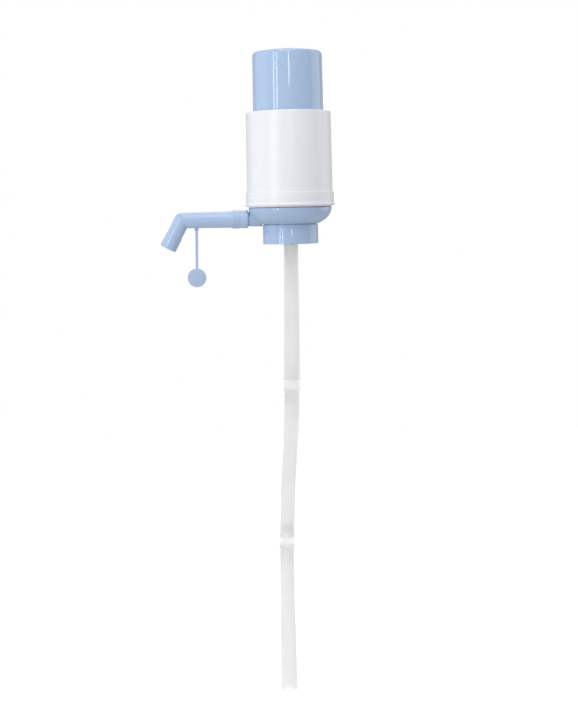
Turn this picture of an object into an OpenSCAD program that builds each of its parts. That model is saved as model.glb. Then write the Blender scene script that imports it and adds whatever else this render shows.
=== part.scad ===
// Hand pump for a large water bottle: pressing the cap squeezes a bellows, the air goes through a check
// valve into the bottle, and the water rises in the dip tube and leaves by the spout.
// Millimetres. Z = 0 is the underside of the neck gasket, on the pump's axis, +Z up, spout towards -X.

/* [Bottle neck] */
// Outside diameter of the bottle's neck
neck_d = 55; // [50:0.5:60]
// Length of neck that goes up inside the collar
neck_depth = 12.8; // [11:0.2:18]
// Gap between the neck and the open grip ring
neck_gap = 0.25; // [0.15:0.05:0.6]
// Thickness of the neck gasket
gasket_h = 2; // [1.4:0.2:4]
// Width of the gasket's sealing face
gasket_w = 5.2; // [4.4:0.2:6]

/* [Lock collar] */
// Wall of the collar
collar_wall = 1.2; // [1:0.1:2]
// Wall of the split grip ring
grip_wall = 0.9; // [0.8:0.1:1.4]
// Width of the split in the grip ring
grip_split = 6; // [4:0.5:10]
// Rise of the collar's thread in one turn
thread_pitch = 2.4; // [2:0.1:4]
// Turn that locks the collar, in degrees
lock_turn = 90; // [60:5:90]

/* [Base] */
// How far the bowl's rim stands in from the upright wall above it
bowl_step = 0.2; // [0.1:0.1:1.2]
// Height of the bowl
bowl_h = 20.2; // [18:0.2:24]
// Wall of the bowl
bowl_wall = 1.8; // [1.4:0.1:2.4]
// Length of the stem that carries the collar
stem_h = 6.5; // [6:0.1:8]
// Diameter of the air holes in the bowl's floor
air_hole_d = 5; // [3:0.5:6]
// Distance of the air holes from the axis
air_hole_at = 15; // [14:0.5:18]
// Bore of the water passage
water_d = 9; // [7:0.5:10]
// Height of the spout's axis above the bowl's floor
spout_rise = 6; // [5.8:0.1:7]

/* [Sleeve] */
// Diameter of the sleeve above its band
sleeve_d = 92.7; // [89:0.1:104]
// How far the sleeve's side leans in up to its top
sleeve_draft = 0.75; // [0.3:0.05:1.5]
// How far the band stands out from the sleeve
band_step = 1.3; // [1:0.05:2.5]
// Height of the band
band_h = 11.3; // [9:0.1:14]
// How far the lip stands out from the band
lip_step = 1.1; // [0.5:0.1:2]
// Height of the lip
lip_h = 4.6; // [3.6:0.1:6]
// How far the lip reaches down over the bowl's rim
lip_drop = 1.8; // [0.8:0.1:2.4]
// Height of the sleeve, with its lip
sleeve_h = 101; // [96:0.2:110]
// Wall of the sleeve
sleeve_wall = 2; // [1.6:0.1:2.4]
// Width of the flange at the sleeve's top
top_flange_w = 7.45; // [6:0.05:10]

/* [Push cap] */
// How far the cap's side leans in up to its top
cap_draft = 0.6; // [0.3:0.05:1.2]
// Height of the cap above the sleeve
cap_show = 63.7; // [60:0.1:70]
// Wall of the cap
cap_wall = 1.8; // [1.4:0.1:2.2]
// Radius of the cap's upper edge
cap_edge_r = 4.5; // [3:0.5:8]
// Stroke of the cap
cap_stroke = 55; // [30:1:56]
// Length of the cap inside the sleeve
cap_inside = 19.6; // [17:0.2:24]
// Gap between the cap and its guide
slide_gap = 0.35; // [0.25:0.05:0.6]

/* [Bellows] */
// Gap between the bellows' folds and the cap's top end
bellows_gap = 1.8; // [1.2:0.2:4]
// Depth of the folds
fold_depth = 5.6; // [3:0.2:6]
// Wall of the bellows
bellows_wall = 0.8; // [0.6:0.1:1.2]
// Number of folds
fold_count = 14; // [8:1:16]

/* [Spout] */
// How far the end of the spout's socket stands back from the edge of the sleeve's lip
socket_back = 5.3; // [1:0.1:7]
// How far the socket stands out from its spigot
socket_step = 0.6; // [0.4:0.1:1.4]
// Diameter of the spigot that the spout turns on
spigot_d = 14.8; // [14:0.1:15]
// Length of the spigot
spigot_l = 14.6; // [12:0.2:15]
// Wall of the spout's root
root_wall = 2.2; // [1.4:0.1:2.6]
// Length of the spout from its root to its elbow
arm_l = 53.5; // [40:0.5:80]
// Diameter of the spout at its elbow
arm_d = 17; // [15.4:0.1:18]
// How far the arm's side leans in from the root to the elbow
arm_draft = 0.35; // [0.2:0.05:0.6]
// Angle of the spout's end below the horizontal
elbow_drop = 61.5; // [45:0.5:90]
// Length from the elbow to the outlet
leg_l = 34.1; // [30:0.1:40]
// Wall of the spout at its elbow
arm_wall = 2.3; // [1.8:0.1:3]
// How far the outlet is wider than the spout's bore
outlet_step = 0.9; // [0.4:0.1:1.2]
// How far the tip stands out from the spout's end
tip_step = 0.45; // [0.2:0.05:1]
// Length of the tip
tip_l = 15.6; // [14:0.2:18]

/* [Stopper] */
// Distance from the spout's elbow back to the strap's pin
strap_back = 15.5; // [12:0.1:30]
// Length from the pin to the middle of the stopper
strap_l = 52.4; // [46:0.1:60]
// Width of the strap
strap_w = 2.9; // [2.4:0.1:3.5]
// Thickness of the strap
strap_t = 1.2; // [0.8:0.1:1.4]
// Lean of the hanging strap, in degrees
strap_lean = 1.2; // [0:0.1:2]
// Diameter of the stopper's disc
disc_d = 20.4; // [18:0.2:24]
// Thickness of the stopper's disc
disc_t = 1.6; // [1.2:0.1:3]
// Length of the stopper's plug
plug_l = 6; // [4:0.5:8]

/* [Dip tube] */
// Outside diameter of the tube
tube_d = 16.2; // [14.6:0.1:18]
// Wall of the tube
tube_wall = 1.7; // [1.2:0.1:2]
// Length of the upper section
upper_l = 169.5; // [100:0.5:300]
// Length of the middle section
middle_l = 165.5; // [100:0.5:300]
// Length of the lower section
lower_l = 165.5; // [110:0.5:300]
// Lean of the tube at the upper joint, in degrees
lean_upper = 1.3; // [0.2:0.1:4]
// Lean in the middle of the middle section, in degrees
lean_middle = 4.7; // [0.2:0.1:6]
// Lean of the tube at the lower joint, in degrees
lean_lower = 1.1; // [0.2:0.1:4]
// How far the bell at the lower end stands out from the tube
bell_step = 1; // [0.8:0.1:2]
// Length of the bell
bell_l = 28; // [20:1:40]
// Length of the taper above the bell
bell_taper_l = 57; // [20:1:70]
// Length of a joiner between the sections
joiner_l = 11; // [8:0.5:16]
// Length of a joiner's spigot
joiner_spigot_l = 16; // [10:0.5:20]

/* [Hidden] */
$fn = 96;
cut = 1;             // how far a cutting shape stands past the face that it cuts
arc_steps = 10;      // straight steps in a rounded corner of an outline
bowl_steps = 24;     // straight steps in the bowl's curved side
bend_fn = 1440;      // steps in a full turn of a tube's very large bend
fit_gap = 0.15;      // gap round a piece that turns or slides in another
seat_gap = 0.3;      // gap between pieces that pass each other

blue = "#a9c3e4";
white = "#f1f3f8";
milky = "#e4e6e8";
rubber = "#2b2d30";
silicone = "#d9dde2";
steel = "#b9bcc0";

// Neck, grip ring and collar
neck_r = neck_d / 2;
grip_in_r = neck_r + neck_gap;
grip_r = grip_in_r + grip_wall;
collar_in_r = grip_r + fit_gap;
collar_r = collar_in_r + collar_wall;
lift = thread_pitch * lock_turn / 360;
seam_gap = lift + 0.1;
stem_z = gasket_h;
bowl_z = stem_z + stem_h;
collar_top_z = bowl_z - seam_gap;
collar_foot_z = -neck_depth;
lip_in_h = 1.6;
grip_foot_z = collar_foot_z + lip_in_h + lift + 0.1;
stem_r = grip_in_r - fit_gap;
stem_wall = 3.6;
stem_in_r = stem_r - stem_wall;
groove_z = stem_z + 0.4;
groove_h = 0.8;
groove_depth = 0.5;
lug_z = groove_z + groove_h + 0.5;
lug_h = 1.1;
lug_turn = 12;
lug_count = 3;
ramp_z = lug_z + lug_h + fit_gap;
ramp_step = 15;
stem_shoulder_h = seam_gap + 0.4;
ramp_top_z = bowl_z - stem_shoulder_h - lift - 0.2;
key_gap = 0.4;
collar_edge = 0.6;

// Bowl
foot_r = collar_r - seat_gap;
sleeve_r = sleeve_d / 2;
joint_wall = 1.25;                        // share of the sleeve's wall left outside the base's upright wall
wall_r = sleeve_r - sleeve_wall + joint_wall;
bowl_r = wall_r - bowl_step;
rim_z = bowl_z + bowl_h;
bowl_fullness = 2.4;                      // 2 makes the bowl's side an ellipse, more makes it fuller
foot_turn = acos(pow(foot_r / bowl_r, bowl_fullness / 2));
bowl_depth = bowl_h / pow(sin(foot_turn), 2 / bowl_fullness);
floor_t = bowl_wall;
air_hole_count = 4;
wall_t = bowl_wall;
wall_in_r = wall_r - wall_t;
wall_h = 9.3;
rim_step = 0.6;
shelf_z = rim_z + 1.3;
shelf_w = 3.2;
wall_top_z = rim_z + wall_h;
bead_z = rim_z + 4.3;
bead_h = 1.4;
bead_out = 0.35;
seal_w = 1.4;
seal_h = 1;

// Deck, clamp ring and screws
deck_t = 2.5;
deck_r = wall_in_r - seat_gap;
deck_top_z = shelf_z + deck_t;
clamp_t = 2.5;
flange_t = 1.5;
clamp_top_z = deck_top_z + flange_t + clamp_t;
screw_d = 3;
screw_head_d = 5.6;
screw_head_h = 1.8;
screw_count = 4;
screw_inset = 5.9;
screw_grip = 8;
screw_gap = 0.4;
slot_l = 3.2;
slot_w = 0.8;
slot_depth = 1;
post_t = 2.9;
post_turn = 16;
boss_d = 6;
boss_h = 10;
screw_at = deck_r - screw_inset;
flange_r = screw_at - screw_d / 2 - 0.8;

// Sleeve
band_r = sleeve_r + band_step;
lip_r = band_r + lip_step;
top_r = sleeve_r - sleeve_draft;
sleeve_foot_z = rim_z - lip_drop;
sleeve_z = sleeve_foot_z + sleeve_h;
band_z = sleeve_foot_z + lip_h + band_h;
lip_roll = 1.4;
lip_edge = 1.1;
lip_foot_w = 0.6;
sleeve_edge_r = 1.5;
guide_in_r = top_r - top_flange_w;
guide_wall = 1.8;
guide_h = 15.9;
guide_z = sleeve_z - guide_h;
shoulder_z = wall_top_z + 0.1;

// Cap, valve plate and bellows
cap_r = guide_in_r - slide_gap;
cap_top_r = cap_r - cap_draft;
cap_z = sleeve_z + cap_show;
cap_foot_z = sleeve_z - cap_inside;
cap_rim_r = guide_in_r + 1.3;
cap_rim_h = guide_z - seat_gap - cap_foot_z;
cap_roof_z = cap_z - cap_wall;
plate_t = 2.6;
plate_drop = 1.6;
plate_top_z = cap_roof_z - plate_drop;
plate_z = plate_top_z - plate_t;
roof_edge_r = cap_edge_r - cap_wall;
roof_edge_drop = max(roof_edge_r - plate_drop, 0);
plate_r = cap_top_r - cap_edge_r + sqrt(pow(roof_edge_r, 2) - pow(roof_edge_drop, 2)) - fit_gap;
plate_notch = 2.4;
notch_count = 4;
web_w = 1.6;
web_l = 8;
web_end_r = plate_r - 6;
valve_air_r = 6;
valve_air_d = 3.4;
valve_air_count = 6;
valve_stem_d = 3.6;
valve_bead_d = 4.8;
valve_d = 18.4;
valve_h = 3.4;
folds_z = clamp_top_z + 1;
neck_of_bellows_h = 7;
folds_top_z = plate_z - neck_of_bellows_h;
bellows_r = cap_top_r - cap_wall - bellows_gap;
bellows_root_r = bellows_r - fold_depth;
boss_gap = 0.05;
boss_wall = 1.6;
fold_h = (folds_top_z - folds_z) / fold_count;

// Spout and stopper
spout_z = bowl_z + spout_rise;
pipe_d = 2 * spout_rise;
spout_gap = 2.4;
socket_d = spigot_d + 2 * socket_step;
socket_reach = lip_r - socket_back;
root_x = socket_reach + spout_gap;
root_past_beads = 2.6;
root_l = spigot_l + 1 + root_past_beads;
root_bore_d = spigot_d + 0.12;
root_d = root_bore_d + 2 * root_wall;
root_bore_l = spigot_l - spout_gap + 0.6;
elbow_reach = root_x + root_l + arm_l;
strap_at = elbow_reach - strap_back;
arm_root_d = arm_d + 2 * arm_draft;
eye_r = 1.3;
bead_w = 1.1;
bead_r_out = 0.35;
bead_steps = [0, 2.9, 5.1];
ring_section_d = 1.16;
ring_groove_d = spigot_d - 2 * ring_section_d - 0.08;
ring_groove_w = 1.8;
ring_x = socket_reach + spigot_l - 4.2;
leg_d = arm_d;
spout_bore_d = arm_d - 2 * arm_wall;
outlet_d = spout_bore_d + outlet_step;
tip_d = leg_d + 2 * tip_step;
outlet_l = 6.6;
tip_seat_l = tip_l - outlet_l;
tip_seat_d = leg_d - 1;
pin_drop = eye_r + seat_gap;
pin_d = 1.5;
ear_gap = 0.1;
ear_t = 0.85;
ear_r = 1.6;
pin_z = spout_z - arm_d / 2 - pin_drop;
plug_d = outlet_d - 0.2;
plug_wall = 1.2;

// Dip tube: the tube hangs from the nipple and follows very slight bends towards -X
nipple_l = 15.2;
nipple_shoulder_h = 1.3;
tube_bore_d = tube_d - 2 * tube_wall;
nipple_d = tube_bore_d;
tube_r = tube_d / 2;
tube_top_z = bowl_z - nipple_shoulder_h;
half_l = middle_l / 2;
lower_bend_l = lower_l - bell_l - bell_taper_l;
bell_d = tube_d + 2 * bell_step;
bell_bore_d = tube_bore_d + 2 * bell_step;
joiner_flange_d = tube_d + 1.6;
joiner_flange_t = 1.2;
joiner_gap = 0.1;
radian = 180 / PI;
no_lean = 0;
least_turn = 0.01;

// Move along a straight stretch of length l at lean a
function straight_shift(l, a) = [-l * sin(a), 0, -l * cos(a)];
// Move along a bend of length l whose lean changes from a to b
function bend_shift(l, a, b) =
    abs(b - a) < least_turn
        ? straight_shift(l, a)
        : let (r = l * radian / (b - a)) [-r * (cos(a) - cos(b)), 0, -r * (sin(b) - sin(a))];
tube_top = [0, 0, tube_top_z];
joint_one = tube_top + bend_shift(upper_l, no_lean, lean_upper);
middle_top = joint_one + straight_shift(joiner_l, lean_upper);
middle_half = middle_top + bend_shift(half_l, lean_upper, lean_middle);
joint_two = middle_half + bend_shift(half_l, lean_middle, lean_lower);
lower_top = joint_two + straight_shift(joiner_l, lean_lower);
taper_top = lower_top + bend_shift(lower_bend_l, lean_lower, no_lean);
echo(tube_end = taper_top - [0, 0, bell_taper_l + bell_l]);

// Radius of the cap's outside at height z
function cap_side_r(z) = z < sleeve_z ? cap_r : cap_r - (cap_r - cap_top_r) * (z - sleeve_z) / cap_show;
// Points of an arc about [x, z]
function arc(x, z, r, from, to, steps = arc_steps) =
    [for (i = [0 : steps]) let (a = from + (to - from) * i / steps) [x + r * cos(a), z + r * sin(a)]];
// Points of the bowl's curved side, from the foot up to the rim
function bowl_side(r, depth, foot_turn) =
    [for (i = [0 : bowl_steps])
        let (a = foot_turn * (1 - i / bowl_steps))
            [r * pow(cos(a), 2 / bowl_fullness), rim_z - depth * pow(sin(a), 2 / bowl_fullness)]];

module ring(r, in_r, h) {
    difference() {
        cylinder(r = r, h = h);
        translate([0, 0, -cut]) cylinder(r = in_r, h = h + 2 * cut);
    }
}

module ring_part(r, in_r, h, turn) {
    rotate([0, 0, -turn / 2])
        rotate_extrude(angle = turn)
            translate([in_r, 0]) square([r - in_r, h]);
}

module around(count, at, start = 0) {
    for (i = [0 : count - 1])
        rotate([0, 0, start + i * 360 / count]) translate([at, 0, 0]) children();
}

// Turns a shape built along +Z so that it runs along -X from x at the spout's height
module along_spout(x) {
    translate([-x, 0, spout_z]) rotate([0, -90, 0]) children();
}

// Runs a shape built along +Z from the elbow down to the outlet
module along_leg() {
    translate([-elbow_reach, 0, spout_z]) rotate([0, -90 - elbow_drop, 0]) children();
}

// Stands a shape at a point of the tube, with its -Z along the tube
module on_tube(point, lean) {
    translate(point) rotate([0, lean, 0]) children();
}

// A length of tube that runs down from the origin and bends by turn degrees towards -X
module tube_bend(l, turn) {
    r = l * radian / max(abs(turn), least_turn);
    if (abs(turn) < least_turn)
        translate([0, 0, -l]) ring(tube_r, tube_bore_d / 2, l);
    else
        mirror([turn < 0 ? 1 : 0, 0, 0]) translate([-r, 0, 0]) rotate([-90, 0, 0])
            rotate_extrude(angle = abs(turn), $fn = bend_fn) translate([r, 0]) difference() {
                circle(r = tube_r, $fn = 96);
                circle(d = tube_bore_d, $fn = 96);
            }
}

// ---- plunger ----

module push_cap() {
    edge_z = cap_z - cap_edge_r;
    outer = concat(
        [[cap_rim_r, cap_foot_z], [cap_rim_r, cap_foot_z + cap_rim_h], [cap_r, cap_foot_z + cap_rim_h],
         [cap_r, sleeve_z]],
        arc(cap_top_r - cap_edge_r, edge_z, cap_edge_r, 0, 90), [[0, cap_z]]);
    inner = concat(
        [[0, cap_roof_z]], arc(cap_top_r - cap_edge_r, edge_z, roof_edge_r, 90, 0),
        [[cap_r - cap_wall, sleeve_z], [cap_r - cap_wall, cap_foot_z]]);
    color(blue) {
        rotate_extrude() polygon(concat(outer, inner));
        // Four webs that hold the valve plate off the roof and leave the air a way round it
        for (i = [0 : notch_count - 1])
            rotate([0, 0, i * 360 / notch_count])
                translate([web_end_r - web_l, -web_w / 2, plate_top_z]) cube([web_l, web_w, plate_drop]);
    }
}

// Umbrella valve: its dome shuts the air holes, its stem holds it in the plate above
module umbrella_valve(plate_under_z, plate_thickness) {
    bead_h_up = 1.6;
    color(rubber) rotate_extrude() polygon(concat(
        [[0, plate_under_z - valve_h]],
        arc(0, plate_under_z, 1, -90, -90, 1),
        [for (i = [0 : arc_steps])
            let (a = 90 * i / arc_steps)
                [valve_d / 2 * sin(a), plate_under_z - 0.6 - (valve_h - 0.6) * cos(a)]],
        [[valve_d / 2, plate_under_z], [valve_stem_d / 2, plate_under_z],
         [valve_stem_d / 2, plate_under_z + plate_thickness],
         [valve_bead_d / 2, plate_under_z + plate_thickness],
         [valve_stem_d / 2, plate_under_z + plate_thickness + bead_h_up],
         [0, plate_under_z + plate_thickness + bead_h_up]]));
}

module valve_holes(from_z, h) {
    translate([0, 0, from_z - cut]) {
        cylinder(d = valve_stem_d, h = h + 2 * cut);
        around(valve_air_count, valve_air_r) cylinder(d = valve_air_d, h = h + 2 * cut);
    }
}

module valve_plate() {
    boss_r = bellows_root_r - bellows_wall - boss_gap;
    color(white) difference() {
        union() {
            translate([0, 0, plate_z]) cylinder(r = plate_r, h = plate_t);
            translate([0, 0, folds_top_z + 1])
                ring(boss_r, boss_r - boss_wall, plate_z - folds_top_z - 1 + cut);
        }
        valve_holes(plate_z, plate_t);
        around(notch_count, plate_r, 45)
            translate([-plate_notch, -3, plate_z - cut]) cube([plate_notch + cut, 6, plate_t + 2 * cut]);
    }
}

module inlet_valve() {
    umbrella_valve(plate_z, plate_t);
}

// ---- bellows, deck and its seal ----

module bellows() {
    root = bellows_root_r;
    folds = [for (i = [0 : fold_count - 1])
        each [[root, folds_z + i * fold_h], [bellows_r, folds_z + (i + 0.5) * fold_h]]];
    outer = concat(
        [[flange_r, deck_top_z], [flange_r, deck_top_z + flange_t], [root, deck_top_z + flange_t]],
        folds, [[root, folds_top_z], [root, plate_z]]);
    inner = [for (i = [len(outer) - 1 : -1 : 3]) [outer[i][0] - bellows_wall, outer[i][1]]];
    color(silicone) rotate_extrude() polygon(concat(outer, inner, [[root - bellows_wall, deck_top_z]]));
}

// The four posts stop the cap's foot at the end of its stroke
module clamp_ring() {
    neck = bellows_root_r + 0.4;
    post_in_r = cap_r - cap_wall + 0.3;
    post_z = clamp_top_z - cut;
    post_h = cap_foot_z - cap_stroke - seat_gap - post_z;
    color(white) difference() {
        union() {
            translate([0, 0, deck_top_z + flange_t]) ring(deck_r, neck, clamp_t);
            translate([0, 0, deck_top_z]) ring(deck_r, flange_r + 0.1, flange_t + 0.1);
            around(screw_count, 0)
                translate([0, 0, post_z]) ring_part(post_in_r + post_t, post_in_r, post_h, post_turn);
        }
        around(screw_count, screw_at, 45) translate([0, 0, deck_top_z - cut])
            cylinder(d = screw_d + screw_gap, h = flange_t + clamp_t + 2 * cut);
    }
}

module clamp_screws() {
    shank_l = clamp_top_z - shelf_z + screw_grip;
    color(steel) around(screw_count, screw_at, 45) {
        translate([0, 0, clamp_top_z - shank_l]) cylinder(d = screw_d, h = shank_l);
        difference() {
            translate([0, 0, clamp_top_z]) cylinder(d = screw_head_d, h = screw_head_h);
            translate([0, 0, clamp_top_z + screw_head_h - slot_depth / 2 + cut / 2]) for (turn = [0, 90])
                rotate([0, 0, turn]) cube([slot_l, slot_w, slot_depth + cut], center = true);
        }
    }
}

module deck_plate() {
    boss_r = bellows_root_r - bellows_wall - boss_gap;
    color(white) difference() {
        union() {
            translate([0, 0, shelf_z]) cylinder(r = deck_r, h = deck_t);
            translate([0, 0, deck_top_z - cut]) ring(boss_r, boss_r - boss_wall, 3 + cut);
        }
        valve_holes(shelf_z, deck_t);
        around(screw_count, screw_at, 45)
            translate([0, 0, shelf_z - cut]) cylinder(d = screw_d + screw_gap, h = deck_t + 2 * cut);
    }
}

module deck_seal() {
    color(rubber) translate([0, 0, shelf_z - seal_h]) ring(deck_r - 0.4, deck_r - 0.4 - seal_w, seal_h);
}

module check_valve() {
    umbrella_valve(shelf_z, deck_t);
}

// ---- base ----

module bowl_outside() {
    rotate_extrude() polygon(concat(
        [[0, bowl_z]], bowl_side(bowl_r, bowl_depth, foot_turn),
        [[wall_r, rim_z + rim_step / 2], [wall_r, bead_z], [wall_r + bead_out, bead_z + bead_h / 2],
         [wall_r, bead_z + bead_h], [wall_r, wall_top_z], [0, wall_top_z]]));
}

module bowl_inside() {
    in_r = bowl_r - bowl_wall;
    in_depth = bowl_depth - bowl_wall;
    side = bowl_side(in_r, in_depth, asin(pow((bowl_h - floor_t) / in_depth, bowl_fullness / 2)));
    rotate_extrude() polygon(concat(
        [[0, bowl_z + floor_t]], side,
        [[wall_in_r - shelf_w, rim_z], [wall_in_r - shelf_w, shelf_z], [wall_in_r, shelf_z],
         [wall_in_r, wall_top_z + cut], [0, wall_top_z + cut]]));
}

// Water way: up the nipple and out to the spout
module water_way() {
    translate([0, 0, bowl_z - nipple_l - cut]) cylinder(d = water_d, h = spout_z - bowl_z + nipple_l + cut);
    translate([0, 0, spout_z]) sphere(d = water_d);
    along_spout(0) cylinder(d = water_d, h = socket_reach + spigot_l + cut);
}

module base_bowl() {
    color(blue) difference() {
        union() {
            difference() {
                bowl_outside();
                bowl_inside();
            }
            translate([0, 0, stem_z]) ring(stem_r, stem_in_r, stem_h + floor_t / 2);
            translate([0, 0, bowl_z - stem_shoulder_h])
                ring(collar_in_r - seat_gap, stem_in_r + 1, stem_shoulder_h + floor_t / 2);
            around(lug_count, 0)
                translate([0, 0, lug_z]) ring_part(collar_in_r - seat_gap, stem_r - 0.4, lug_h, lug_turn);
            translate([0, 0, bowl_z - nipple_l]) cylinder(d = nipple_d, h = nipple_l + spout_rise);
            translate([0, 0, tube_top_z]) cylinder(d = tube_d - 0.8, h = nipple_shoulder_h + floor_t / 2);
            translate([0, 0, bowl_z]) cylinder(d = pipe_d, h = 2 * spout_rise);
            along_spout(0) cylinder(d = pipe_d, h = bowl_r - 6);
            along_spout(collar_r + 0.4) cylinder(d = socket_d, h = socket_reach - collar_r - 0.4);
            along_spout(socket_reach - cut) cylinder(d = spigot_d, h = spigot_l + cut);
            intersection() {
                bowl_outside();
                around(screw_count, screw_at, 45) translate([0, 0, shelf_z - boss_h]) {
                    cylinder(d = boss_d, h = boss_h);
                    translate([0, -web_w / 2, 0]) cube([boss_d, web_w, boss_h]);
                }
            }
        }
        water_way();
        around(air_hole_count, air_hole_at, 45)
            translate([0, 0, bowl_z - cut]) cylinder(d = air_hole_d, h = floor_t + 2 * cut);
        around(screw_count, screw_at, 45)
            translate([0, 0, shelf_z - screw_grip]) cylinder(d = screw_d, h = screw_grip + cut);
        translate([0, 0, shelf_z - seal_h])
            ring(deck_r - 0.4, deck_r - 0.4 - seal_w, seal_h + cut);
        translate([0, 0, groove_z]) ring(stem_r + cut, stem_r - groove_depth, groove_h);
        along_spout(ring_x - ring_groove_w / 2) ring(spigot_d / 2 + cut, ring_groove_d / 2, ring_groove_w);
    }
}

module outer_sleeve() {
    seat_r = wall_r + 0.2;
    groove_out = bead_out + 0.1;
    roll_w = lip_r - seat_r - lip_foot_w;
    rolled = [for (i = [0 : arc_steps])
        let (a = 90 * i / arc_steps)
            [seat_r + lip_foot_w + roll_w * sin(a), sleeve_foot_z + lip_roll * (1 - cos(a))]];
    outer = concat(
        [[seat_r, sleeve_foot_z]], rolled,
        [[lip_r, sleeve_foot_z + lip_roll + lip_edge], [band_r, sleeve_foot_z + lip_h],
         [band_r, band_z - 0.5], [sleeve_r, band_z]],
        arc(top_r - sleeve_edge_r, sleeve_z - sleeve_edge_r, sleeve_edge_r, 0, 90),
        [[guide_in_r + 0.8, sleeve_z], [guide_in_r, sleeve_z - 0.8]]);
    inner = [
        [guide_in_r, guide_z], [guide_in_r + guide_wall, guide_z],
        [guide_in_r + guide_wall, sleeve_z - sleeve_wall], [top_r - sleeve_wall, sleeve_z - sleeve_wall],
        [sleeve_r - sleeve_wall, shoulder_z], [seat_r, shoulder_z], [seat_r, bead_z + bead_h + 0.2],
        [seat_r + groove_out, bead_z + bead_h / 2], [seat_r, bead_z - 0.2]];
    color(white) rotate_extrude() polygon(concat(outer, inner));
}

// ---- neck: gasket, grip ring and collar ----

module neck_gasket() {
    r = neck_r - seat_gap;
    color(silicone) {
        ring(r, r - gasket_w, gasket_h);
        translate([0, 0, gasket_h - 0.5]) ring(stem_in_r - 0.1, r - gasket_w, 3.5);
    }
}

module squeeze_ring() {
    top_z = lug_z - seat_gap;
    color(silicone) difference() {
        union() {
            translate([0, 0, grip_foot_z]) ring(grip_r, grip_in_r, top_z - grip_foot_z);
            translate([0, 0, groove_z + fit_gap])
                ring(grip_in_r + 0.3, stem_r - groove_depth + fit_gap, groove_h - 2 * fit_gap);
        }
        translate([0, -grip_split / 2, grip_foot_z - cut])
            cube([grip_r + cut, grip_split, top_z - grip_foot_z + 2 * cut]);
    }
}

// One start of the collar's thread: a block whose underside steps down, on which a lug of the stem rides
module thread_start() {
    last = ceil((lock_turn + lug_turn) / ramp_step) - 1;
    span = (last + 1) * ramp_step;
    step_h = thread_pitch * ramp_step / 360;
    low_z = ramp_z - last * step_h;
    rotate([0, 0, (lug_turn - span) / 2]) difference() {
        translate([0, 0, low_z]) ring_part(collar_in_r + 0.3, stem_r + seat_gap, ramp_top_z - low_z, span);
        // Each stair is cut a little wider than the one above it, so no two cuts share a face
        for (i = [0 : last - 1]) {
            wider = i * 0.1;
            past = cut + i;
            rotate([0, 0, (span - (i + 1) * ramp_step + past) / 2]) translate([0, 0, low_z - past])
                ring_part(collar_in_r + cut + wider, stem_r - wider,
                    (last - i) * step_h + past, (i + 1) * ramp_step + past);
        }
    }
}

module lock_collar() {
    key_w = grip_split - 2 * key_gap;
    outer = concat(
        arc(collar_r - collar_edge, collar_foot_z + collar_edge, collar_edge, -90, 0, 6),
        [[collar_r, collar_top_z - 0.4], [collar_r - 0.4, collar_top_z], [collar_in_r, collar_top_z],
         [collar_in_r, collar_foot_z + lip_in_h], [grip_in_r, collar_foot_z + lip_in_h],
         [grip_in_r, collar_foot_z]]);
    color(blue) {
        rotate_extrude() polygon(outer);
        around(lug_count, 0) thread_start();
        // Key that stands in the grip ring's split and turns it with the collar
        translate([grip_in_r + fit_gap, -key_w / 2, collar_foot_z + lip_in_h - 0.2])
            cube([grip_wall + fit_gap, key_w, neck_depth - lip_in_h - 0.5]);
    }
}

// ---- spout, its tip, its seal and the stopper ----

module spout() {
    root_end_x = root_x + root_l;
    color(blue) difference() {
        union() {
            along_spout(root_x) cylinder(d = root_d, h = root_l);
            for (step = bead_steps)
                along_spout(root_end_x - root_past_beads - bead_steps[2] - bead_w + step)
                    cylinder(r = root_d / 2 + bead_r_out, h = bead_w);
            along_spout(root_end_x - cut)
                cylinder(d1 = arm_root_d, d2 = arm_d, h = elbow_reach - root_end_x + cut);
            translate([-elbow_reach, 0, spout_z]) sphere(d = arm_d);
            along_leg() cylinder(d = leg_d, h = leg_l - tip_l);
            along_leg() cylinder(d = tip_seat_d, h = leg_l - tip_l + tip_seat_l);
            for (side = [-1, 1])
                translate([-strap_at + side * (strap_w / 2 + ear_gap + ear_t / 2), 0, 0]) strap_ear();
        }
        along_spout(root_x - cut) cylinder(d = root_bore_d, h = root_bore_l + cut);
        along_spout(root_x) cylinder(d = spout_bore_d, h = elbow_reach - root_x);
        translate([-elbow_reach, 0, spout_z]) sphere(d = spout_bore_d);
        along_leg() cylinder(d = spout_bore_d, h = leg_l + cut);
        translate([-strap_at, 0, pin_z]) rotate([0, 90, 0])
            cylinder(d = pin_d + 0.1, h = strap_w + 4 * ear_t, center = true);
    }
}

// One ear of the strap's hinge, on the underside of the spout
module strap_ear() {
    rotate([0, 90, 0]) translate([0, 0, -ear_t / 2]) {
        translate([-pin_z, 0, 0]) cylinder(r = ear_r, h = ear_t);
        translate([-pin_z - pin_drop - 1, -ear_r, 0]) cube([pin_drop + 1, 2 * ear_r, ear_t]);
    }
}

module spout_tip() {
    rim_edge = 0.5;
    color(blue) along_leg() difference() {
        union() {
            translate([0, 0, leg_l - tip_l]) cylinder(d = tip_d, h = tip_l - rim_edge);
            translate([0, 0, leg_l - rim_edge])
                cylinder(d1 = tip_d, d2 = tip_d - 2 * rim_edge, h = rim_edge);
        }
        translate([0, 0, leg_l - tip_l - cut]) cylinder(d = tip_seat_d, h = tip_seat_l + cut);
        cylinder(d = outlet_d, h = leg_l + cut);
    }
}

module spout_o_ring() {
    color(rubber) along_spout(ring_x) rotate_extrude()
        translate([ring_groove_d / 2 + ring_section_d / 2 + 0.02, 0]) circle(d = ring_section_d, $fn = 32);
}

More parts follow.
